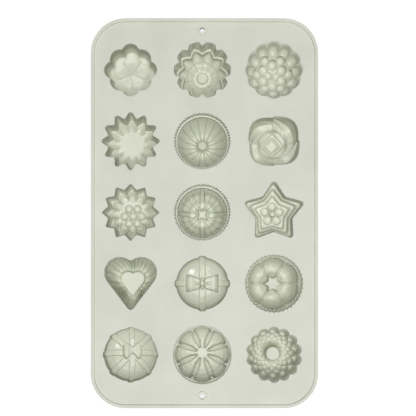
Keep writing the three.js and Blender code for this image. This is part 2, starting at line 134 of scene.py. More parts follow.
above_table = silicone.add("ShaderNodeSeparateXYZ", None, {"Vector": rubber_spot}).outputs["Z"]
# The rubber is satin on the deck's face and glossy below it. The same share gives the deck its own colour and
# the cavities a colour painted darker, as shade.
satin_and_unshaded_deck = silicone.work_out("Result", "ShaderNodeMapRange", None, {
    "Value": above_table, "From Min": deck_top - 1.2 * mm, "From Max": deck_top - 0.2 * mm})
facing = silicone.add("ShaderNodeNewGeometry").outputs["Normal"]
upright = abs(silicone.work_out("Z", "ShaderNodeSeparateXYZ", None, {"Vector": facing}))
# Painted shade: the steeper a wall, the more of the darker steep colour it takes.
flatness = silicone.work_out("Result", "ShaderNodeMapRange", {"interpolation_type": "SMOOTHSTEP"}, {
    "Value": upright, "From Min": 0.05, "From Max": 0.48})
# The colour of steep walls, painted darker as shade.
steep_painted_shade = (0.37, 0.395, 0.30, 1)
# The colour of the cavities, painted darker than the deck as shade in the recesses.
cavity_painted_shade = clouded((0.535, 0.560, 0.450), (0.580, 0.600, 0.490))
deck_tint = clouded((0.615, 0.640, 0.545), (0.665, 0.682, 0.590))
pores = silicone.add("ShaderNodeBump", None, {
    "Strength": 0.25, "Distance": 0.03 * mm, "Height": grain + haze * 2})
rubber = silicone.add("ShaderNodeBsdfPrincipled", None, {
    "Base Color": blend(satin_and_unshaded_deck, blend(flatness, steep_painted_shade, cavity_painted_shade), deck_tint),
    "Roughness": haze * 0.1 + satin_and_unshaded_deck * 0.36 + 0.15,
    "IOR": 1.41,
    "Subsurface Weight": 0.04,
    "Subsurface Radius": (1.0, 1.0, 0.7),
    "Subsurface Scale": 0.6 * mm,
    "Normal": pores.outputs["Normal"],
})
silicone.add("ShaderNodeOutputMaterial", None, {"Surface": rubber.outputs["BSDF"]})

# Pansy cup
# The first of fifteen cups, all formed alike: a round blank of rubber is pressed over a punch, with an even
# wall, and its lip joins the deck's skin. This one makes a round sweet with eight petals and a five-petalled
# flower on top. The sizes of the cups are in mm.
wall = 1.3
deck_thickness = 1.6
lip = 0.8
deck_fillet = 0.9
cup_steps = 360
cavity_rings = 100
wall_rings = 14
foot_rings = 18
skin_rings = wall_rings + foot_rings - 1

blank_shape = bmesh.new()
section = [blank_shape.verts.new(co) for co in ((0, 0, 0), (1, 0, 0), (1, 0, -1), (0, 0, -1))]
sides = [blank_shape.edges.new(pair) for pair in zip(section, section[1:])]
bmesh.ops.subdivide_edges(blank_shape, edges=sides[:1], cuts=cavity_rings - 1)
bmesh.ops.subdivide_edges(blank_shape, edges=sides[2:], cuts=skin_rings - 1)
bmesh.ops.spin(blank_shape, geom=blank_shape.verts[:] + blank_shape.edges[:], cent=(0, 0, 0), axis=(0, 0, 1),
               angle=math.tau, steps=cup_steps, use_merge=True)
bmesh.ops.remove_doubles(blank_shape, verts=blank_shape.verts, dist=1e-6)
bmesh.ops.recalc_face_normals(blank_shape, faces=blank_shape.faces)
for face in blank_shape.faces:
    face.smooth = True
# Only the edges that lie right on the lip stay sharp.
for edge in blank_shape.edges:
    edge.smooth = any(math.hypot(vert.co.x, vert.co.y) <= 0.9999 for vert in edge.verts)
blank = bpy.data.meshes.new("cup_blank")
blank_shape.to_mesh(blank)
blank_shape.free()

# Every vertex of the blank belongs to one direction and to one ring: first the rings of the cavity from the
# middle out, and after them those of the skin behind it. The turn of a direction is measured from three
# o'clock, and its clock angle from twelve.
turn = np.arange(cup_steps) * math.tau / cup_steps
clock = turn - math.pi / 2
blank_spots = np.empty(len(blank.vertices) * 3)
blank.vertices.foreach_get("co", blank_spots)
blank_x, blank_y, blank_z = blank_spots.reshape(-1, 3).T
blank_turn = np.round(np.arctan2(blank_y, blank_x) / math.tau * cup_steps).astype(int) % cup_steps
blank_reach = np.hypot(blank_x, blank_y)
blank_ring = np.where(blank_z > -0.5, np.round(blank_reach * cavity_rings),
                      cavity_rings + 1 + np.round(blank_reach * skin_rings)).astype(int)


def smooth(value, start, end):
    """0 before start, 1 after end, and eased between."""
    share = np.clip((value - start) / (end - start), 0, 1)
    return share * share * (3 - 2 * share)


def between(value, start, full, fade, end):
    """0 before start and after end, 1 from full to fade, and eased between."""
    return smooth(value, start, full) * (1 - smooth(value, fade, end))


def bump(distance, width):
    """1 on a line or point, fading to nothing within about twice the width."""
    return np.exp(-(distance / width) ** 2)


def from_spoke(x, y, count, start=0.0):
    """How far a point lies from the nearest of so many lines that run out from the middle."""
    half = math.pi / count
    angle = np.arctan2(y, x) - math.pi / 2 - start
    return np.hypot(x, y) * np.abs(np.sin((angle + half) % (2 * half) - half))


def petals(count):
    """Round outside, with a sharp notch between two."""
    return np.abs(np.cos(count * clock / 2))


def tier(outline, base, share, lobe):
    """The outline drawn in by a share, with its lobes beyond the base deepened or flattened."""
    return share * (base + lobe * (outline - base))


def press_cavity(mouth, rows, relief, rounding):
    """The reach and depth of the cavity's rings, from the middle out to the lip, in every direction."""
    rounded_lip = [(mouth + lip, 0), (mouth + 0.45, 0), (mouth + 0.14, 0.1), (mouth, 0.45)]
    rows = rounded_lip + rows
    reach_rows, deep_rows = (np.array([np.broadcast_to(row[part], cup_steps) for row in rows], float)
                             for part in (0, 1))
    steps = np.hypot(np.diff(reach_rows.mean(1)), np.diff(deep_rows.mean(1))) + 0.05
    path = np.concatenate([[0], np.cumsum(steps)])
    # The rings lie a little closer together towards the lip.
    crowding = 1.15
    along = (1 - np.arange(cavity_rings + 1) / cavity_rings) ** crowding * path[-1]
    # Corners are rounded by taking the mean of nine places on a stretch of the path, short near its ends.
    stretch = np.minimum(rounding, np.minimum(along, path[-1] - along) * 0.8)
    stretch = stretch * (0.3 + 0.7 * smooth(along, 1.4, 3.2))
    spread = along[:, None] + stretch[:, None] * np.linspace(-1, 1, 9)
    weights = np.stack([np.interp(spread, path, unit).mean(1) for unit in np.eye(len(path))], 1)
    reach, deep = weights @ reach_rows, weights @ deep_rows
    if relief:
        outwards, down = np.gradient(reach, axis=0), np.gradient(deep, axis=0)
        stride = np.hypot(outwards, down) + 1e-9
        pressed = relief(reach * np.cos(turn), reach * np.sin(turn), reach, deep) * smooth(deep, 0.3, 1.5)
        reach, deep = reach - pressed * down / stride, deep + pressed * outwards / stride
        reach[0] = 0
    return reach, np.minimum(deep, deck_top / mm - wall)


def skin_behind(mouth, reach, deep):
    """The rings of the skin behind a cavity: an even wall, the foot, and up again into a middle post."""
    # The side of the cup ends a little above the foot, so that the foot's edge is round.
    lowest = deep.max(0) + 0.7 * wall
    # Where the wall runs slantwise, a cut straight out from the middle passes through more of it.
    most_slant = 2.2
    slope = (np.roll(reach, -1, 1) - np.roll(reach, 1, 1)) / (2 * math.tau / cup_steps)
    slant = np.minimum(np.hypot(1, slope / np.maximum(reach, 2)), most_slant)
    rings = []
    for share in np.sin(np.linspace(0, math.pi / 2, wall_rings)):
        level = deck_thickness + (lowest - deck_thickness) * share
        above = level - deep
        cover = np.sqrt(np.clip(wall ** 2 - np.clip(above, 0, wall) ** 2, 0, None)) * slant
        edge = np.where(above <= wall, reach + cover, 0).max(0)
        under_deck = np.maximum(0, deck_fillet - (level - deck_thickness))
        rings.append((edge + under_deck ** 2 * deck_fillet, level))
    foot_reach = rings[-1][0]
    for k in range(1, foot_rings + 1):
        radius = foot_reach * (1 - k / foot_rings)
        gap = np.abs(reach - radius)
        hang = np.where(gap < wall, deep + np.sqrt(np.clip(wall ** 2 - gap ** 2, 0, None)), 0).max(0)
        rings.append((radius, np.full(cup_steps, hang.mean()) if k == foot_rings else hang))
    rings[0] = (mouth + lip, np.full(cup_steps, deck_thickness))
    return (np.array([ring[part] for ring in rings[::-1]]) for part in (0, 1))


def mould_piece(mesh, node):
    """Makes the piece that stands for one node of the mould."""
    mesh.materials.append(sage_silicone)
    piece = bpy.data.objects.new("silicone_" + node, mesh)
    bpy.context.collection.objects.link(piece)
    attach(piece, "root")
    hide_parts(node)


def middle(node, axis):
    return (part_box(node)[0][axis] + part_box(node)[1][axis]) / 2


cup_rows = [
    ("cup_pansy", "cup_star_bundt", "cup_raspberry"),
    ("cup_daisy", "cup_fluted_bundt", "cup_rose"),
    ("cup_lotus", "cup_ribbon_bundt", "cup_star"),
    ("cup_heart", "cup_gift_round", "cup_wreath_bundt"),
    ("cup_gift_eight_band", "cup_pumpkin", "cup_beaded_bundt"),
]
# The punches stand in straight columns and rows. The lips they leave are kept, because the deck joins them.
centres = {node: (middle(cup_rows[0][column], 0), middle(row[1], 1))
           for row in cup_rows for column, node in enumerate(row)}
lips = []


def press_cup(node, mouth, rows, relief=None, rounding=0.5):
    """Presses a cup. rows are (reach, depth) from mouth to middle, and relief is how much deeper it goes."""
    reach, deep = press_cavity(mouth, rows, relief, rounding)
    skin_reach, skin_deep = skin_behind(mouth, reach, deep)
    radius = np.concatenate([reach, skin_reach])[blank_ring, blank_turn]
    depth = np.concatenate([deep, skin_deep])[blank_ring, blank_turn]
    spots = np.empty((len(blank_ring), 3))
    spots[:, 0] = centres[node][0] + radius * np.cos(turn[blank_turn]) * mm
    spots[:, 1] = centres[node][1] + radius * np.sin(turn[blank_turn]) * mm
    spots[:, 2] = deck_top - depth * mm
    mesh = blank.copy()
    mesh.name = node
    mesh.vertices.foreach_set("co", spots.ravel())
    mould_piece(mesh, node)
    lips.append((centres[node], mouth + lip))


pansy_base = 16.5
pansy = pansy_base + 2.85 * np.abs(np.cos(4 * clock)) ** 0.8 + 0.55 * np.cos(4 * clock)
flower = 11.4 + 3.8 * petals(5) ** 0.8


def pansy_relief(x, y, reach, deep):
    return -0.35 * bump(from_spoke(x, y, 5, math.pi / 5), 0.8) * between(reach, 1.5, 4, 10, 13)


press_cup("cup_pansy", pansy, [
    (0.955 * pansy, 6.0),
    (0.88 * pansy, 9.8),
    (tier(pansy, pansy_base, 0.81, 0.9), 10.3),
    (flower, 10.4),
    (flower * 0.9, 10.9),
    (flower * 0.7, 11.4),
    (flower * 0.4, 11.3),
    (2.4, 10.9),
    (1.4, 10.5),
    (0, 10.4),
], pansy_relief, rounding=0.8)

# Star bundt cup
# A ring sweet with ten blunt points in three tiers. The cup stands its full depth, and a low round post in
# the middle forms the hole.


def tips(count):
    """Straight flanks from sharp tip to sharp notch."""
    return np.abs(1 - 2 * (count * clock / math.tau % 1))


def softened(reach, degrees):
    """The outline with its corners rounded over so many degrees on either side."""
    steps = round(degrees * cup_steps / 360)
    return sum(np.roll(reach, k) for k in range(-steps, steps + 1)) / (2 * steps + 1)


def dome(distance, width):
    """The rounded back of a rib or a knob, 1 high in its middle and nothing beyond the width."""
    return np.sqrt(np.clip(1 - (distance / width) ** 2, 0, 1))


def star_tier(notch, lobe):
    return softened(notch + lobe * (1 - tips(10)), 1)


def star_bundt_relief(x, y, reach, deep):
    rounds = dome(from_spoke(x, y, 10, math.pi / 10), 0.33 * reach + 0.1)
    creases = bump(from_spoke(x, y, 10), 0.45)
    return between(reach, 4.4, 6, 10.5, 13) * (0.6 * rounds - 0.25 * creases)


star_bundt = softened(18.1 + 3.3 * np.minimum(1, 2 * (1 - tips(10))), 1.5)
press_cup("cup_star_bundt", star_bundt, [
    (star_tier(16.0, 4.2), 7.2),
    (star_tier(14.7, 4.1), 7.5),
    (star_tier(13.9, 3.6), 10.6),
    (star_tier(12.6, 1.4), 12.8),
    (11.0, 14.3),
    (9.2, 15.3),
    (7.8, 16.3),
    (6.2, 17.5),
    (5.2, 17.7),
    (4.4, 17.2),
    (3.8, 15.3),
    (3.5, 15.2),
    (0, 15.2),
], star_bundt_relief, rounding=0.3)

# Raspberry cup
# A domed berry of closely set round beads: twelve round the edge, six in each of the next two rings, and two
# in the middle.


def beading(x, y, deep, rows):
    """How far the tallest bead stands out at each point. rows are (out, down, count, start, radius)."""
    tallest = np.zeros_like(x)
    for out, down, count, start, radius in rows:
        half = math.pi / count
        angle = (np.arctan2(y, x) - math.pi / 2 - start + half) % (2 * half) - half
        squared = x ** 2 + y ** 2 + out ** 2 - 2 * np.hypot(x, y) * out * np.cos(angle) + (deep - down) ** 2
        tallest = np.maximum(tallest, np.sqrt(np.clip(radius ** 2 - squared, 0, None)))
    return tallest


def raspberry_relief(x, y, reach, deep):
    # The beads round the edge are drawn out down the wall.
    draw = 0.6
    edge_beads = beading(x, y, draw * deep, [(18.2, draw * 3.4, 12, 0, 4.8)])
    inner_beads = beading(x, y, deep, [
        (14.0, 10.4, 6, math.pi / 6, 4.2),
        (9.0, 12.8, 6, 0, 4.6),
        (3.4, 14.2, 2, math.radians(84), 3.7),
    ])
    tallest = np.maximum(np.maximum(edge_beads, inner_beads), 1.2)
    return 0.7 * (tallest - 3.4) * smooth(deep, 0, 5)


raspberry_base = 20.3
raspberry = raspberry_base + 1.3 * petals(12)
press_cup("cup_raspberry", raspberry, [
    (0.965 * raspberry, 1.6),
    (tier(raspberry, raspberry_base, 0.90, 0.8), 4.0),
    (tier(raspberry, raspberry_base, 0.81, 0.4), 7.2),
    (14.2, 10.2),
    (10.4, 12.6),
    (6, 13.8),
    (0, 14.4),
], raspberry_relief)

# Daisy cup
# A flower of twelve pointed petals in two layers round a wide flat middle. Every petal has a fine vein, and a
# ridge stands between two.


def star_reach(count, tip, notch, start=0.0):
    """A star with straight sides."""
    half = math.pi / count
    parts = (clock - start) / (2 * half)
    from_tip = np.abs(parts - np.round(parts)) * 2 * half
    return tip * notch * math.sin(half) / (tip * np.sin(from_tip) + notch * np.sin(half - from_tip))


def daisy_relief(x, y, reach, deep):
    ridges = bump(from_spoke(x, y, 12, math.pi / 12), 0.55) * between(reach, 9.5, 12, 16, 18)
    veins = bump(from_spoke(x, y, 12), 0.5) * between(reach, 9, 12, 17, 19)
    return 0.5 * veins - 0.8 * ridges


daisy_base = 17
daisy = softened(star_reach(12, 23.6, 16.8), 5)
press_cup("cup_daisy", daisy, [
    (tier(daisy, daisy_base, 0.94, 1.0), 5.2),
    (tier(daisy, daisy_base, 0.85, 1.05), 9.0),
    (tier(daisy, daisy_base, 0.77, 1.05), 9.3),
    (tier(daisy, daisy_base, 0.65, 0.9), 10.5),
    (tier(daisy, daisy_base, 0.56, 0.5), 11.0),
    (8.4, 11.2),
    (0, 11.2),
], daisy_relief, rounding=0.6)

# Fluted bundt cup
# A ring cake with a scalloped edge, a flat ledge, and sixteen rounded flutes that run straight down to the
# trough. The post in the middle has six rounded sides.


def waves(count):
    """1 at the given number of places round the cup, the first at twelve o'clock, and 0 between them."""
    return (1 + np.cos(count * clock)) / 2


def fluted_relief(x, y, reach, deep):
    creases = bump(from_spoke(x, y, 16, math.pi / 16), 0.42) * smooth(reach, 4.0, 5.2)
    creases = creases * (1.7 - 0.7 * smooth(reach, 6, 8.5))
    rounds = dome(from_spoke(x, y, 16), 0.21 * reach + 0.3)
    return (rounds - 0.8 * creases) * smooth(deep, 3.4, 5.0)


scalloped = 21.4 - 1.1 * (1 - petals(60))
ledge_and_bowl = [
    (scalloped - 0.1, 2.5),
    (20.2, 3.2),
    (19.2, 3.3),
    (18.9, 4.3),
    (17.9, 5.9),
    (16.2, 8.6),
    (14.2, 11.6),
    (11.8, 14.0),
    (9.6, 15.8),
    (7.6, 16.6),
]
post_six = 3.7 - 0.3 * (1 - waves(6))
press_cup("cup_fluted_bundt", scalloped, ledge_and_bowl + [
    (6.0, 16.7),
    (post_six * 1.34, 15.8),
    (post_six * 1.1, 12.5),
    (post_six * 0.98, 12.2),
    (0, 12.2),
], fluted_relief, rounding=0.3)

# Rose cup
# A square rose: four outer petals, each starting a step outside the one before, and the heart of the flower
# inside them, three nested diamonds with rounded sides. Along each petal, quarter runs from 0 to 1.
across = np.abs(np.cos(turn)) / 18.8
endways = np.abs(np.sin(turn)) / 18.2
rose_square = (across ** 3.2 + endways ** 3.2) ** (-1 / 3.2)
quarter = (-clock / (math.pi / 2)) % 1
rose = softened(rose_square + 1.1 * (0.5 - quarter), 1.5)
soon, later = 1 - (1 - quarter) ** 3, 1 - (1 - quarter) ** 2
hollow = np.sin(math.pi * quarter) ** 2
outer_fold = 10.9 + 5.8 * (1 - quarter) ** 1.7
inner_fold = 10.9 - 1.1 * quarter
diamond = softened(star_reach(4, 1.0, math.sqrt(0.5)), 11)
press_cup("cup_rose", rose, [
    (rose - 0.3, 1.2 + 2.0 * quarter),
    (rose - 0.8, 2.2 + 4.6 * quarter),
    (0.65 * (rose - 0.3) + 0.35 * (outer_fold + 0.5), 3.0 + 5.8 * soon + 2.3 * hollow),
    (outer_fold + 0.5, 3.4 + 5.8 * soon + 2.0 * hollow),
    (outer_fold - 0.5, 6.4 + 4.8 * later + 1.0 * hollow),
    (inner_fold + 0.35, 8.5 + 3.4 * later + 0.5 * hollow),
    (inner_fold - 0.35, 11.0 + 1.9 * later),
    (diamond * 10.1, 13.0),
    (diamond * 9.3, 13.9),
    (diamond * 6.9, 14.5),
    (diamond * 6.1, 15.4),
    (diamond * 4.9, 15.7),
    (diamond * 4.4, 16.5),
    (0, 16.5),
], rounding=0.3)

# Lotus cup
# A water lily: twelve pointed petals, six wider ones inside them, and a seed head of seven beads a little
# below the middle.


def lotus_relief(x, y, reach, deep):
    head_x, head_y = 0.4, -1.6
    seeds = beading(x - head_x, y - head_y, deep, [(6.6, 11.7, 6, math.pi / 6, 3.2), (0, 11.9, 1, 0, 3.2)])
    ridges = bump(from_spoke(x, y, 12, math.pi / 12), 0.6) * between(reach, 10, 12, 16, 18)
    inner_petals = bump(from_spoke(x, y, 6), 1.6) * bump(reach - 12.4, 2.4)
    return 0.8 * seeds + 0.9 * inner_petals - 1.2 * ridges


lotus_base = 17.6
lotus = softened(star_reach(12, 21.9, 17.4), 2)
press_cup("cup_lotus", lotus, [
    (0.96 * lotus, 4.6),
    (tier(lotus, lotus_base, 0.86, 1.1), 8.0),
    (tier(lotus, lotus_base, 0.79, 1.1), 8.4),
    (tier(lotus, lotus_base, 0.70, 0.6) + 0.6 * waves(6), 10.4),
    (10.4 + 0.8 * waves(6), 11.3),
    (9.2, 11.4),
    (0, 11.5),
], lotus_relief, rounding=0.45)

# Ribbon bundt cup
# A ring cake with the edge and the bowl of the fluted one, tied with four flat ribbons, with a groove along
# both sides of each and pleats like leaves between them. The post is a square star.


def ribbon_relief(x, y, reach, deep):
    from_band = from_spoke(x, y, 4)
    band = 1 - smooth(from_band, 1.5, 1.8)
    edge = bump(from_band - 2.0, 0.36)
    pleats = bump(from_spoke(x, y, 20, math.pi / 20), 0.38)
    waist = 0.5 + 0.5 * np.cos(1.15 * (reach - 6.2))
    leaves = 1.1 - 0.55 * waist - 0.9 * pleats
    return (1.5 * band - 1.1 * edge + leaves * (1 - band)) * smooth(reach, 4.2, 6.5) * smooth(deep, 3.9, 6.0)


post_star = softened(star_reach(4, 4.4, 2.4, math.pi / 4), 4)
press_cup("cup_ribbon_bundt", scalloped, ledge_and_bowl + [
    (6.2, 16.6),
    (post_star * 1.28, 15.4),
    (post_star * 1.06, 12.9),
    (post_star * 0.86, 12.7),
    (0, 12.7),
], ribbon_relief, rounding=0.3)

# Star cup
# A five-pointed star in three steps, with five plump petals on the last. A small post between the petals
# leaves a hole in the sweet.


def star_step(tip, notch):
    return softened(star_reach(5, tip, notch), 4)


def star_relief(x, y, reach, deep):
    flower_petals = beading(x, y, deep, [(6.0, 10.9, 5, 0, 3.6)])
    creases = bump(from_spoke(x, y, 5, math.pi / 5), 0.6) * between(reach, 1.6, 3, 6, 7.5)
    return 0.5 * flower_petals - 0.9 * creases


star = softened(star_reach(5, 24.8, 14.6), 5)
press_cup("cup_star", star, [
    (0.98 * star, 1.4),
    (star_step(22.6, 13.7), 5.3),
    (star_step(19.8, 12.7), 5.9),
    (star_step(18.0, 11.6), 9.1),
    (star_step(15.2, 9.8), 9.6),
    (star_step(13.4, 8.6), 11.9),
    (star_step(7.0, 4.6), 12.0),
    (3.0, 12.1),
    (2.3, 12.1),
    (1.8, 8.9),
    (0, 8.7),
], star_relief, rounding=0.3)

# Heart cup
# A heart-shaped cake: a fluted trough runs round a raised flat heart, and is shallower and smoother towards
# the point.


def heart_reach(lobe_radius, lobe_aside, lobe_up, point_down):
    """Two round lobes, with straight sides that run from them down to the point."""
    side, up = np.abs(np.cos(turn)), np.sin(turn)
    to_lobe = math.hypot(lobe_aside, lobe_up + point_down)
    lean = math.atan2(lobe_aside, lobe_up + point_down) + math.asin(lobe_radius / to_lobe)
    on_side = point_down * math.sin(lean) / (side * math.cos(lean) - up * math.sin(lean))
    along_side = (on_side * up + point_down) / math.cos(lean)
    towards = side * lobe_aside + up * lobe_up
    beyond = lobe_aside ** 2 + lobe_up ** 2 - lobe_radius ** 2
    on_lobe = towards + np.sqrt(np.maximum(0, towards ** 2 - beyond))
    straight = (on_side > 0) & (along_side <= math.sqrt(to_lobe ** 2 - lobe_radius ** 2))
    return np.where(straight, on_side, on_lobe)


def heart_relief(x, y, reach, deep):
    # Twenty-six flutes, set closer towards twelve and six o'clock.
    flutes = np.abs(np.cos(13 * (clock + 0.22 * np.sin(2 * clock)))) ** 0.7
    share = reach / heart
    height = 1.9 - 1.2 * smooth(-y, 6, 15)
    return height * (flutes - 0.7) * smooth(share, 0.45, 0.52) * (1 - 0.5 * smooth(share, 0.84, 0.93))


heart = softened(heart_reach(lobe_radius=11.6, lobe_aside=8.3, lobe_up=8.5, point_down=21.4), 7)
shallower_point = 1 - 0.1 * smooth(-np.sin(turn), 0.75, 1)
press_cup("cup_heart", heart, [
    (0.985 * heart, 1.8),
    (0.965 * heart, 2.1),
    (0.95 * heart, 4.2 * shallower_point),
    (0.90 * heart, 6.4 * shallower_point),
    (0.82 * heart, 9.6 * shallower_point),
    (0.73 * heart, 12.4 * shallower_point),
    (0.64 * heart, 14.3 * shallower_point),
    (0.55 * heart, 14.7 * shallower_point),
    (0.49 * heart, 14.2 * shallower_point),
    (0.46 * heart, 12.0),
    (0, 12.0),
], heart_relief, rounding=0.35)

# Round gift cup
# A round box with a low domed lid, tied with two crossed ribbons whose ends stand out of the edge, and a
# broad bow on top.


def gift_outline(lid, tab_reach, ribbons, width):
    """A circle with a tab at both ends of every ribbon."""
    ends = np.min([np.abs(lid * np.sin(clock - math.pi * k / ribbons)) for k in range(ribbons)], axis=0)
    return softened(lid + (tab_reach - lid) * (1 - smooth(ends, width / 2 - 0.3, width / 2 + 0.3)), 1.5)


def press_gift(node, lid, outline, relief):
    press_cup(node, outline, [
        (0.985 * outline, 3.2),
        (tier(outline, lid, 0.955, 0.9), 5.2),
        (17.2, 7.0),
        (14.2, 8.8),
        (10.0, 10.2),
        (5.0, 10.9),
        (0, 11.0),
    ], relief)


def broad_bow(x, y, margin):
    """1 on the bow and on so much more all round it, and 0 elsewhere."""
    knot_half, waist, half_height, half_length = 1.4, 1.9, 6.7, 12.7
    side = np.abs(x) - margin
    widening = np.sqrt(np.clip((side + margin - knot_half) / (half_length + margin - knot_half), 0, 1))
    top = waist + (half_height - waist) * widening
    ends = 1 - smooth(side, half_length - 0.4, half_length + 0.2)
    return (1 - smooth(np.abs(y) - margin - top, -0.3, 0.3)) * ends


def gift_round_relief(x, y, reach, deep):
    from_band = from_spoke(x, y, 4)
    band = 1 - smooth(from_band, 2.15, 2.45)
    edge = bump(from_band - 2.3, 0.28)
    bow = broad_bow(x, y, 0)
    rim = broad_bow(x, y, 0.6) * (1 - bow)
    side = np.abs(x)
    wrinkles = bump(np.abs(y) - 0.22 * (side - 1.0), 0.4) * between(side, 1.6, 2.4, 4.5, 7)
    loops = 1.2 * bump(side - 8.8, 2.8) - 0.8 * wrinkles
    oval = np.hypot(x / 1.8, y / 3.7)
    knot = 1.9 * dome(oval, 1) - 0.9 * bump(oval - 1.2, 0.18)
    return (0.8 * band - 0.6 * edge) * (1 - bow) + bow * (1.9 + loops) + knot - 1.3 * rim


round_lid = 19.7
press_gift("cup_gift_round", round_lid, gift_outline(round_lid, 20.9, 2, 5.0), gift_round_relief)

# Wreath bundt cup
# A ring cake of six plump lobes inside a twisted rope edge. A tall post shaped like a six-pointed star forms
# the hole.


def wreath_relief(x, y, reach, deep):
    creases = bump(from_spoke(x, y, 6, math.pi / 6), 1.0) * between(reach, 5.5, 8, 15, 19)
    rope = np.cos(40 * np.arctan2(y, x) + 1.4 * reach) * bump(reach - 20.4, 1.0)
    plump = bump(from_spoke(x, y, 6), 3.4) * between(reach, 7, 10, 15, 18.5)
    return 0.45 * rope + 1.2 * plump - 1.3 * creases


wreath = 22.0 - 0.9 * (1 - petals(40))
lobes = petals(6)
post_six_star = softened(star_reach(6, 6.2, 4.0, math.pi / 6), 2)
press_cup("cup_wreath_bundt", wreath, [
    (0.985 * wreath, 1.3),
    (21.1, 1.9),
    (20.6, 2.9),
    (19.8, 3.3),
    (18.5 + 1.2 * lobes, 4.6),
    (17.5 + 1.5 * lobes, 7.6),
    (16.1 + 1.3 * lobes, 10.6),
    (15.2, 12.8),
    (13.2, 14.3),
    (11.0, 14.8),
    (8.6, 14.0),
    (post_six_star * 1.16, 12.4),
    (post_six_star * 1.02, 7.6),
    (post_six_star * 0.92, 7.0),
    (0, 7.0),
], wreath_relief, rounding=0.35)

# Eight-band gift cup
# The second round box, tied with four ribbons that make eight bands, under a small butterfly bow. Its side
# and lid are formed as the first one's are.


def butterfly_bow(x, y, margin):
    """1 on the bow and on so much more all round it, and 0 elsewhere."""
    bow_x, bow_y, half_height = 0.2, 1.6, 5.9
    side, up = np.abs(x - bow_x), y - bow_y
    upper = half_height - 3.2 * (1 - smooth(side, 0, 4.2)) - 2.2 * smooth(side, 5.2, 7.4) + margin
    lower = half_height - 4.6 * (1 - np.clip(side / 3.8, 0, 1)) - 2.0 * smooth(side, 5.4, 7.4) + margin
    wings = (1 - smooth(up - upper, -0.3, 0.2)) * (1 - smooth(-up - lower, -0.3, 0.2))
    return wings * (1 - smooth(side - margin, 7.0, 7.5))


def gift_eight_relief(x, y, reach, deep):
    from_band = from_spoke(x, y, 8)
    band = 1 - smooth(from_band, 1.95, 2.2)
    edge = bump(from_band - 2.2, 0.34) * smooth(reach, 5, 7)
    bow = butterfly_bow(x, y, 0)
    rim = butterfly_bow(x, y, 0.6) * (1 - bow)
    loops = 0.7 * bump(np.abs(x) - 4.6, 2.0)
    return (0.5 * band - 0.6 * edge) * (1 - bow) + bow * (1.5 + loops) - 0.9 * rim


eight_lid = 20.1
press_gift("cup_gift_eight_band", eight_lid, gift_outline(eight_lid, 20.9, 4, 4.0), gift_eight_relief)

# Pumpkin cup
# A ribbed pumpkin with a narrow ledge round it: eight plump segments, and in every furrow a spindle of rubber
# that stands up between two grooves.


def pumpkin_relief(x, y, reach, deep):
    apart = from_spoke(x, y, 8, math.pi / 8)
    width = 0.4 + 1.5 * smooth(reach, 3.6, 11) * (1 - 0.25 * smooth(reach, 16, 20))
    ends = smooth(reach, 3.8, 4.6) * smooth(deep, 2.4, 3.6)
    groove = bump(apart - width - 0.1, 0.4)
    plump = bump(apart - 0.38 * reach, 0.2 * reach + 0.5) * smooth(reach, 5, 9)
    return 0.7 * plump + (1.4 * groove - 1.1 * dome(apart, width)) * ends


pumpkin = np.full(cup_steps, 22.0)
pinch = 0.6 * (1 - petals(8))
press_cup("cup_pumpkin", pumpkin, [
    (21.8, 1.2),
    (21.0, 1.6),
    (20.7 - pinch, 1.8),
    (20.2 - pinch, 3.4),
    (18.4, 7.0),
    (15.6, 9.6),
    (12.0, 11.2),
    (8.0, 12.1),
    (4.2, 12.5),
    (0, 12.5),
], pumpkin_relief, rounding=0.35)

# Beaded bundt cup
# A ring cake of fourteen scallops, covered with rings of beads that shrink towards a tall smooth post. The
# post ends 7 mm below the deck's face.


def beaded_relief(x, y, reach, deep):
    half = math.pi / 14
    creases = bump(from_spoke(x, y, 14, half), 0.5) * smooth(reach, 14, 16)
    beads = beading(x, y, deep, [
        (17.6, 6.4, 14, 0, 2.9),
        (15.4, 10.0, 14, half, 2.7),
        (13.4, 12.8, 14, 0, 2.4),
        (11.2, 14.6, 14, half, 2.1),
        (9.2, 15.2, 14, 0, 1.8),
    ])
    return 0.55 * beads - 0.5 * creases


beaded_base = 19
beaded = beaded_base + 2.2 * petals(14)
press_cup("cup_beaded_bundt", beaded, [
    (0.97 * beaded, 1.4),
    (tier(beaded, beaded_base, 0.93, 0.9), 3.4),
    (tier(beaded, beaded_base, 0.87, 0.6), 6.4),
    (15.4, 9.8),
    (13.4, 12.6),
    (11.2, 14.4),
    (9.2, 15.0),
    (7.4, 14.4),
    (6.2, 12.2),
    (5.3, 7.6),
    (4.9, 7.0),
    (0, 7.0),
], beaded_relief, rounding=0.35)

# Deck
# The flat web of rubber that joins the cups. It is moulded with them, so its skin runs on over every lip,
# and it has a small hole at each end for a hook.
corner_radius = 26 * mm
corner_steps = 14
half_step = math.tau / (8 * corner_steps)
hole_radius = 2 * mm
collar_steps = 48
collars = ("hanging_collar_top", "hanging_collar_bottom")
deck_low, deck_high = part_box("deck")
deck_middle = (deck_low + deck_high) / 2
half_x = (deck_high.x - deck_low.x) / 2 - corner_radius
half_y = (deck_high.y - deck_low.y) / 2 - corner_radius


def round_the_deck(verts):
    """Moves what was spun round a corner's radius out to the deck's four corners."""
    count = 4 * corner_steps
    for vert in verts:
        step = round(math.atan2(vert.co.y, vert.co.x) / math.tau * count - 0.5) % count
        quadrant, part = divmod(step, corner_steps)
        angle = (quadrant + part / (corner_steps - 1)) * math.pi / 2
        radius = math.hypot(vert.co.x, vert.co.y)
        vert.co.x = radius * math.cos(angle) + (half_x if quadrant in (0, 3) else -half_x)
        vert.co.y = radius * math.sin(angle) + (half_y if quadrant in (0, 1) else -half_y)


def finish_piece(shape, node, sharp):
    """Makes a piece of the shape, smooth but for edges sharper than the angle."""
    for face in shape.faces:
        face.smooth = True
    for edge in shape.edges:
        edge.smooth = len(edge.link_faces) == 2 and edge.calc_face_angle(0) < sharp
    mesh = bpy.data.meshes.new(node)
    shape.to_mesh(mesh)
    shape.free()
    mould_piece(mesh, node)


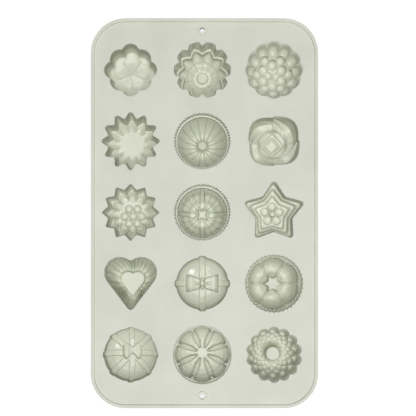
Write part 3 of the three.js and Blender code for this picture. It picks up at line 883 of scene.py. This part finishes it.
web = bmesh.new()
bmesh.ops.create_circle(web, segments=4 * corner_steps, radius=corner_radius)
bmesh.ops.rotate(web, verts=web.verts, cent=(0, 0, 0), matrix=Matrix.Rotation(half_step, 3, "Z"))
round_the_deck(web.verts)
bmesh.ops.translate(web, verts=web.verts, vec=(deck_middle.x, deck_middle.y, deck_top))
for (x, y), outline in lips:
    for vert in bmesh.ops.create_circle(web, segments=cup_steps, radius=1)["verts"]:
        step = round(math.atan2(vert.co.y, vert.co.x) / math.tau * cup_steps) % cup_steps
        reach = outline[step]
        vert.co = (x + reach * math.cos(turn[step]) * mm, y + reach * math.sin(turn[step]) * mm, deck_top)
for node in collars:
    hole = bmesh.ops.create_circle(web, segments=collar_steps, radius=hole_radius)["verts"]
    bmesh.ops.translate(web, verts=hole, vec=(middle(node, 0), middle(node, 1), deck_top))
bmesh.ops.triangle_fill(web, edges=web.edges, use_beauty=True)
under = bmesh.ops.extrude_face_region(web, geom=web.faces[:], use_keep_orig=True)["geom"]
bmesh.ops.translate(web, verts=[part for part in under if isinstance(part, bmesh.types.BMVert)],
                    vec=(0, 0, -deck_thickness * mm))
bmesh.ops.recalc_face_normals(web, faces=web.faces)
finish_piece(web, "deck", math.radians(30))

# Rim bead
# A soft bead moulded round the deck's edge, which stiffens it and keeps a spill on. It stands on the deck's
# face and is rounded along both edges of its top.
rim_width = 2.6 * mm
rim_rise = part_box("rim")[1].z - deck_top


def spun_bead(first_reach, second_reach, rise, rounding, cuts, steps, start=0.0):
    """Spins a bead with a flat foot and rounded upper edges round the middle."""
    bead = bmesh.new()
    profile = [(first_reach, 0), (first_reach, rise), (second_reach, rise), (second_reach, 0)]
    corners = [bead.verts.new((x, 0, z)) for x, z in profile]
    for k in range(4):
        bead.edges.new((corners[k], corners[(k + 1) % 4]))
    bmesh.ops.bevel(bead, geom=corners[1:3], offset=rounding, offset_type="OFFSET", segments=cuts,
                    profile=0.5, affect="VERTICES", material=-1)
    bmesh.ops.rotate(bead, verts=bead.verts, cent=(0, 0, 0), matrix=Matrix.Rotation(start, 3, "Z"))
    bmesh.ops.spin(bead, geom=bead.verts[:] + bead.edges[:], cent=(0, 0, 0), axis=(0, 0, 1), angle=math.tau,
                   steps=steps, use_merge=True)
    bmesh.ops.remove_doubles(bead, verts=bead.verts, dist=1e-7)
    bmesh.ops.recalc_face_normals(bead, faces=bead.faces)
    return bead


rim = spun_bead(corner_radius, corner_radius - rim_width, rim_rise, 0.5 * mm, 5, 4 * corner_steps, half_step)
round_the_deck(rim.verts)
bmesh.ops.translate(rim, verts=rim.verts, vec=(deck_middle.x, deck_middle.y, deck_top))
finish_piece(rim, "rim", math.radians(50))

# Hanging collars
# A small raised ring round the hole at each end, so that the rubber doesn't tear from a hook. It is moulded
# with the deck, and rounded like the rim.
collar_reach = 3.9 * mm
collar_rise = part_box(collars[0])[1].z - deck_top
for node in collars:
    collar = spun_bead(hole_radius, collar_reach, collar_rise, 0.28 * mm, 4, collar_steps)
    bmesh.ops.translate(collar, verts=collar.verts, vec=(middle(node, 0), middle(node, 1), deck_top))
    finish_piece(collar, node, math.radians(50))

# Table
# A plain white table under the mould. It keeps the mould's shadow, and fades to the white of the backdrop
# from 0.3 to 1.3 m out.


def seen_rays(surface):
    """1 for what is seen straight, in a reflection or through something clear, and 0 for what gives light."""
    rays = surface.add("ShaderNodeLightPath").outputs
    straight, mirrored, through = (
        Value(surface, rays[name]) for name in ("Is Camera Ray", "Is Glossy Ray", "Is Transmission Ray"))
    return straight + mirrored + through


white_table = bpy.data.materials.new("white_table")
table_finish = Surface(white_table)
table_spot = table_finish.add("ShaderNodeTexCoord").outputs["Object"]
away = table_finish.add("ShaderNodeVectorMath", {"operation": "LENGTH"}, {0: table_spot}).outputs["Value"]
fade = table_finish.add("ShaderNodeMapRange", {"interpolation_type": "SMOOTHSTEP"}, {
    "Value": away, "From Min": 0.3, "From Max": 1.3, "To Min": 0.64, "To Max": 1.0}).outputs["Result"]
glow = table_finish.add("ShaderNodeEmission", None, {"Color": fade, "Strength": 1.0})
lit = table_finish.add("ShaderNodeBsdfDiffuse", None, {"Color": (0.5, 0.5, 0.5, 1)})
seen_table = table_finish.add("ShaderNodeAddShader", None, {0: lit.outputs[0], 1: glow.outputs[0]})
unseen_table = table_finish.add("ShaderNodeBsdfDiffuse", None, {"Color": (0.8, 0.8, 0.8, 1)})
either = table_finish.add("ShaderNodeMixShader", None, {
    0: seen_rays(table_finish), 1: unseen_table.outputs[0], 2: seen_table.outputs[0]})
table_finish.add("ShaderNodeOutputMaterial", None, {"Surface": either.outputs[0]})

table_shape = bmesh.new()
bmesh.ops.create_grid(table_shape, x_segments=2, y_segments=2, size=6)
table_mesh = bpy.data.meshes.new("table")
table_shape.to_mesh(table_mesh)
table_shape.free()
table_mesh.materials.append(white_table)
table = bpy.data.objects.new("table", table_mesh)
bpy.context.collection.objects.link(table)

# Light
# A broad scrim overhead in a dim room whose walls look white, and two small soft lamps side by side beyond
# the foot of the mould, a little to the right.
white_room = bpy.data.worlds.new("white_room")
bpy.context.scene.world = white_room
room_walls = Surface(white_room)
room_light = 0.02
backdrop = room_walls.add("ShaderNodeBackground", None, {
    "Color": (1, 1, 1, 1), "Strength": seen_rays(room_walls) * (1 - room_light) + room_light})
room_walls.add("ShaderNodeOutputWorld", None, {"Surface": backdrop.outputs[0]})


def hang_lamp(name, place, size, power):
    """Hangs a round soft lamp that faces the middle of the mould."""
    light = bpy.data.lights.new(name, "AREA")
    light.shape, light.size, light.energy = "DISK", size, power
    lamp = bpy.data.objects.new(name, light)
    lamp.location = place
    lamp.rotation_mode = "QUATERNION"
    lamp.rotation_quaternion = (-Vector(place)).to_track_quat("-Z", "Y")
    bpy.context.collection.objects.link(lamp)


hang_lamp("scrim", (0, 0.1, 2.2), 1.8, 35)
hang_lamp("key_left", (-0.3, -1.2, 2.1), 0.3, 10.5)
hang_lamp("key_right", (1.0, -1.2, 2.1), 0.3, 12.5)

# Camera
# It looks straight down from 380 mm above a point in the lower half of the mould, towards which the floors of
# all the cups shift. The shift of its lens takes in the whole mould.
camera_data = bpy.data.cameras.new("camera")
camera_data.sensor_width = 36
camera_data.lens = 43.4
camera_data.shift_x = 0.0071
camera_data.shift_y = 0.1898
camera_data.clip_start = 0.01
camera_data.clip_end = 20
camera = bpy.data.objects.new("camera", camera_data)
camera.location = (0.4 * mm, -55.7 * mm, deck_top + 380 * mm)
bpy.context.collection.objects.link(camera)
bpy.context.scene.camera = camera
bpy.context.scene.view_settings.view_transform = "Standard"
